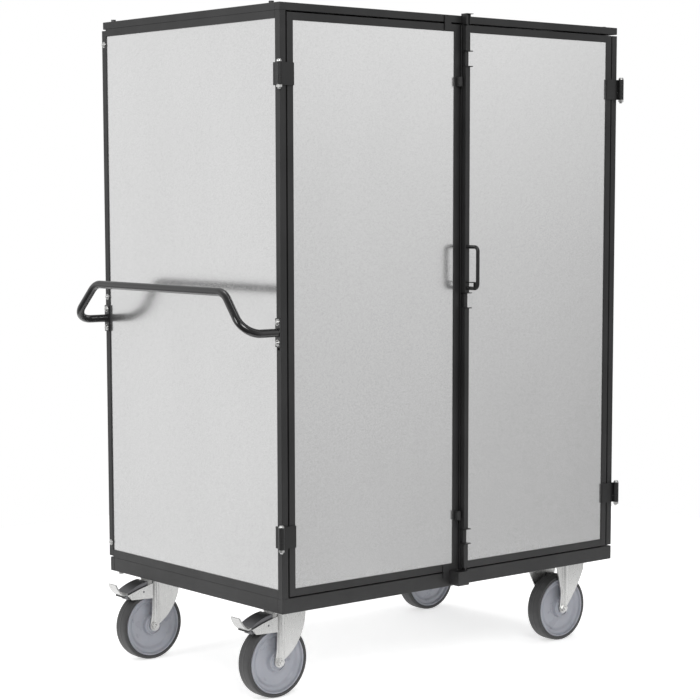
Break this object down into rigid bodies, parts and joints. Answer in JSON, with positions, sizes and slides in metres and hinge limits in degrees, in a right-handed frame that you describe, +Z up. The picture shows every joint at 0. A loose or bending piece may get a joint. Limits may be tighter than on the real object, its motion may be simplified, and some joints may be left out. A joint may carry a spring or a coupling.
{
  "type": "housekeeping cart",
  "caption": "Closed housekeeping cart: tube frame with galvanised panels, hinged front doors with a turning latch bar, inner shelves, bent push handle, swivel and fixed casters.",
  "frame": {"origin": "middle of the bounding box, on the floor", "axes": "+Z up; -Y out of the doors; +X to the right seen from the front, away from the push handle"},
  "size_m": [1.3864, 0.898, 1.8355],
  "materials": {
    "powder_coat": "fine textured charcoal powder coat",
    "black_coat": "black satin powder coat",
    "galvanised": "galvanised sheet with a fine spangle",
    "zinc": "bright zinc plate",
    "black_zinc": "black zinc plate",
    "dark_steel": "dull grey steel",
    "gloss_black": "glossy black powder coat",
    "tyre": "matt grey-black rubber",
    "wheel_nylon": "moulded blue-grey nylon",
    "rubber": "matt black rubber"
  },
  "bodies": {
    "cabinet": {"base_frame": "powder_coat", "floor_panel": "galvanised", "roof_frame": "powder_coat", "roof_panel": "galvanised", "left_wall_frame": "powder_coat", "left_wall_sheet": "galvanised", "right_wall_frame": "powder_coat", "right_wall_sheet": "galvanised", "rear_wall_frame": "powder_coat", "rear_wall_sheet": "galvanised", "rear_clips": "powder_coat", "rear_clip_bolts": "zinc", "wall_spacers": "zinc", "roof_bolts": "black_zinc", "base_bolts": "zinc", "shelves": "galvanised", "shelf_runners": "galvanised", "push_handle": "gloss_black", "push_handle_bolts": "zinc", "top_keeper": "black_coat", "bottom_keeper": "powder_coat", "frame_hinge_leaves": "black_coat", "hinge_pins": "zinc", "caster_plates": "zinc", "caster_plate_bolts": "zinc", "kingpins": "zinc", "fixed_forks": "zinc", "fixed_axles": "zinc"},
    "left_door": {"left_door_frame": "powder_coat", "left_door_sheet": "galvanised", "left_door_stops": "powder_coat", "left_door_hinge_leaves": "black_coat"},
    "right_door": {"right_door_frame": "powder_coat", "right_door_sheet": "galvanised", "right_door_hinge_leaves": "black_coat", "latch_guides": "black_coat"},
    "latch": {"latch_bar": "powder_coat", "latch_handle": "black_coat"},
    "front_swivel": {"front_swivel_fork": "zinc", "front_swivel_axle": "zinc"},
    "front_swivel_brake": {"front_swivel_brake_lever": "dark_steel", "front_swivel_brake_pedal": "zinc", "front_swivel_brake_pad": "rubber"},
    "rear_swivel": {"rear_swivel_fork": "zinc", "rear_swivel_axle": "zinc"},
    "rear_swivel_brake": {"rear_swivel_brake_lever": "dark_steel", "rear_swivel_brake_pedal": "zinc", "rear_swivel_brake_pad": "rubber"},
    "front_swivel_wheel": {"front_swivel_tyre": "tyre", "front_swivel_wheel_centre": "wheel_nylon", "front_swivel_bearing": "zinc"},
    "rear_swivel_wheel": {"rear_swivel_tyre": "tyre", "rear_swivel_wheel_centre": "wheel_nylon", "rear_swivel_bearing": "zinc"},
    "front_fixed_wheel": {"front_fixed_tyre": "tyre", "front_fixed_wheel_centre": "wheel_nylon", "front_fixed_bearing": "zinc"},
    "rear_fixed_wheel": {"rear_fixed_tyre": "tyre", "rear_fixed_wheel_centre": "wheel_nylon", "rear_fixed_bearing": "zinc"}
  },
  "joints": [
    {"name": "left_door_hinge", "type": "hinge", "parent": "cabinet", "child": "left_door", "pos_m": [-0.58285, -0.391, 1.05], "axis": [0, 0, -1], "range_deg": [0, 180]},
    {"name": "right_door_hinge", "type": "hinge", "parent": "cabinet", "child": "right_door", "pos_m": [0.68515, -0.391, 1.05], "axis": [0, 0, 1], "range_deg": [0, 260]},
    {"name": "latch_turn", "type": "hinge", "parent": "right_door", "child": "latch", "pos_m": [0.06115, -0.394, 1.05], "axis": [0, 0, 1], "range_deg": [0, 90]},
    {"name": "front_swivel_turn", "type": "hinge", "parent": "cabinet", "child": "front_swivel", "pos_m": [-0.45985, -0.264, 0.235], "axis": [0, 0, 1], "continuous": true},
    {"name": "front_swivel_wheel_spin", "type": "hinge", "parent": "front_swivel", "child": "front_swivel_wheel", "pos_m": [-0.51785, -0.264, 0.1], "axis": [0, 1, 0], "continuous": true},
    {"name": "front_swivel_brake_press", "type": "hinge", "parent": "front_swivel", "child": "front_swivel_brake", "pos_m": [-0.55485, -0.264, 0.204], "axis": [0, -1, 0], "range_deg": [0, 9]},
    {"name": "rear_swivel_turn", "type": "hinge", "parent": "cabinet", "child": "rear_swivel", "pos_m": [-0.45985, 0.33, 0.235], "axis": [0, 0, 1], "continuous": true},
    {"name": "rear_swivel_wheel_spin", "type": "hinge", "parent": "rear_swivel", "child": "rear_swivel_wheel", "pos_m": [-0.51785, 0.33, 0.1], "axis": [0, 1, 0], "continuous": true},
    {"name": "rear_swivel_brake_press", "type": "hinge", "parent": "rear_swivel", "child": "rear_swivel_brake", "pos_m": [-0.55485, 0.33, 0.204], "axis": [0, -1, 0], "range_deg": [0, 9]},
    {"name": "front_fixed_wheel_spin", "type": "hinge", "parent": "cabinet", "child": "front_fixed_wheel", "pos_m": [0.56215, -0.264, 0.1], "axis": [0, 1, 0], "continuous": true},
    {"name": "rear_fixed_wheel_spin", "type": "hinge", "parent": "cabinet", "child": "rear_fixed_wheel", "pos_m": [0.56215, 0.33, 0.1], "axis": [0, 1, 0], "continuous": true}
  ]
}
